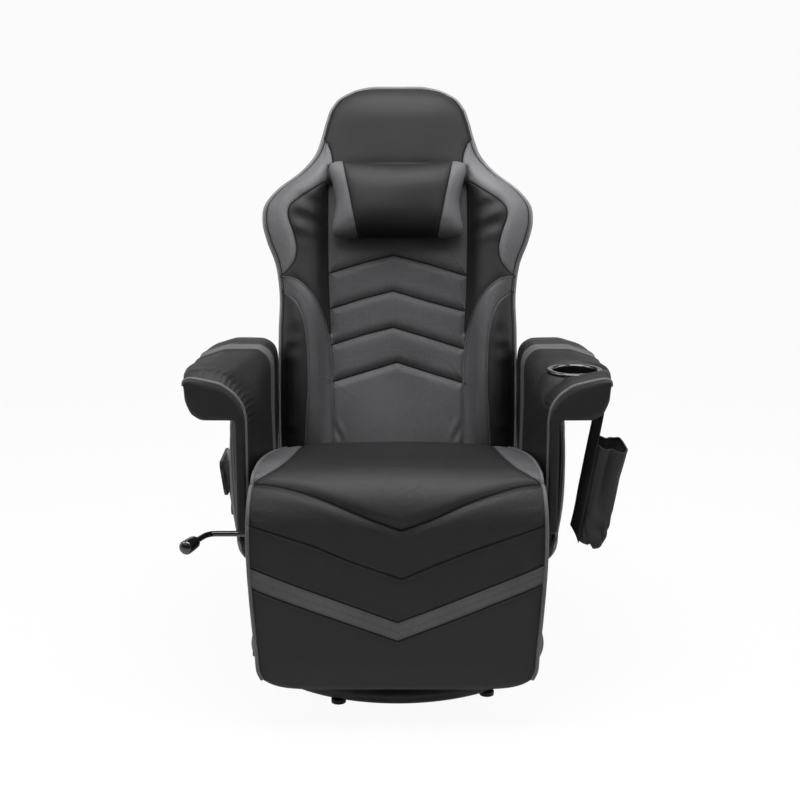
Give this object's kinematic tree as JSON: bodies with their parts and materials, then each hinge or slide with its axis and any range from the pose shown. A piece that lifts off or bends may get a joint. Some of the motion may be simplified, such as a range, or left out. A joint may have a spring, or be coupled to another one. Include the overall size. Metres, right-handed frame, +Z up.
{
  "type": "gaming recliner",
  "caption": "Racing-style gaming recliner in black and grey leather on a swivelling floor ring, with leg rest, head pillow, cup holder and side pouch.",
  "frame": {"origin": "centre of the bounding box at floor level", "axes": "+Z up, -Y the way the chair faces, +X to the right of a viewer in front of it"},
  "size_m": [0.822, 0.809, 1.1301],
  "materials": {
    "black_steel": "black powder coat",
    "zinc_steel": "zinc plated",
    "black_leather": "black leather with a soft sheen, with grey leather panels and grey piping",
    "plywood": "raw plywood",
    "gloss_black": "glossy black",
    "glide_plastic": "matt black",
    "black_fabric": "black woven fabric"
  },
  "bodies": {
    "base": {"base_ring": "black_steel", "spoke_1": "black_steel", "spoke_2": "black_steel", "spoke_3": "black_steel", "spoke_4": "black_steel", "glide_1": "glide_plastic", "glide_2": "glide_plastic", "glide_3": "glide_plastic", "glide_4": "glide_plastic", "glide_5": "glide_plastic", "glide_6": "glide_plastic", "base_hub": "black_steel", "swivel_race_lower": "zinc_steel", "swivel_ball_ring": "zinc_steel", "spindle_nut": "zinc_steel"},
    "chair": {"swivel_race_upper": "zinc_steel", "swivel_riser": "black_steel", "chassis_plate": "black_steel", "chassis_rail_left": "black_steel", "chassis_rail_right": "black_steel", "chassis_cross_front": "black_steel", "chassis_cross_rear": "black_steel", "side_plate_left": "black_steel", "side_plate_right": "black_steel", "seat_rail_left": "black_steel", "seat_rail_right": "black_steel", "seat_cross_front": "black_steel", "seat_cross_rear": "black_steel", "seat_spring_1": "zinc_steel", "seat_spring_2": "zinc_steel", "seat_spring_3": "zinc_steel", "seat_spring_4": "zinc_steel", "seat_cushion": "black_leather", "arm_board_left": "plywood", "arm_board_right": "plywood", "arm_pad_left": "black_leather", "arm_pad_right": "black_leather", "side_panel_left": "black_leather", "side_panel_right": "black_leather", "cup_holder": "gloss_black"},
    "backrest": {"back_cushion": "black_leather", "back_shell": "black_leather", "back_frame": "black_steel", "back_bracket_left": "black_steel", "back_bracket_right": "black_steel", "head_pillow": "black_leather", "pillow_strap": "black_fabric"},
    "legrest": {"legrest_pad": "black_leather", "legrest_board": "plywood", "legrest_frame": "black_steel"},
    "drive": {"torque_tube": "black_steel", "paddle_handle": "gloss_black"},
    "push_links": {"push_link_left": "zinc_steel", "push_link_right": "zinc_steel"},
    "strut_barrel": {"strut_cylinder": "black_steel"},
    "strut_slider": {"strut_rod": "zinc_steel"},
    "lever": {"release_lever": "gloss_black", "lever_knob": "gloss_black"},
    "pouch": {"pouch_panel": "black_fabric", "pouch_pocket": "black_fabric"}
  },
  "joints": [
    {"name": "swivel", "type": "hinge", "parent": "base", "child": "chair", "pos_m": [-0.01424, -0.00946, 0.09], "axis": [0, 0, 1], "continuous": true},
    {"name": "recline", "type": "hinge", "parent": "chair", "child": "backrest", "pos_m": [-0.01424, 0.16554, 0.33], "axis": [-1, 0, 0], "range_deg": [0, 35]},
    {"name": "legrest_fold", "type": "hinge", "parent": "chair", "child": "legrest", "pos_m": [-0.01424, -0.30946, 0.38], "axis": [-1, 0, 0], "range_deg": [0, 85]},
    {"name": "torque_tube_turn", "type": "hinge", "parent": "chair", "child": "drive", "pos_m": [-0.01424, 0.00819, 0.3], "axis": [-1, 0, 0], "range_deg": [0, 85]},
    {"name": "push_link_swing", "type": "hinge", "parent": "drive", "child": "push_links", "pos_m": [-0.01424, 0.02426, 0.21959], "axis": [-1, 0, 0], "range_deg": [-85, 0]},
    {"name": "strut_swing", "type": "hinge", "parent": "chair", "child": "strut_barrel", "pos_m": [-0.01424, -0.06946, 0.24], "axis": [-1, 0, 0], "range_deg": [0, 3]},
    {"name": "strut_slide", "type": "slide", "parent": "strut_barrel", "child": "strut_slider", "axis": [0, 0.9941, 0.1084], "range_m": [-0.043, 0]},
    {"name": "release_lever_lift", "type": "hinge", "parent": "chair", "child": "lever", "pos_m": [-0.22824, -0.22446, 0.318], "axis": [-1, 0, 0], "range_deg": [0, 20], "stiffness_Nm_per_rad": 1.2, "springref_deg": -6.88},
    {"name": "pouch_swing", "type": "hinge", "parent": "chair", "child": "pouch", "pos_m": [0.36411, -0.18646, 0.55439], "axis": [0, -1, 0], "range_deg": [0, 60]}
  ],
  "couplings": [
    {"joint": "torque_tube_turn", "follows": "legrest_fold", "ratio": 1},
    {"joint": "push_link_swing", "follows": "legrest_fold", "ratio": -1},
    {"joint": "strut_swing", "follows": "recline", "ratio": 0.066149},
    {"joint": "strut_slide", "follows": "recline", "m_per_rad": -0.069059}
  ]
}
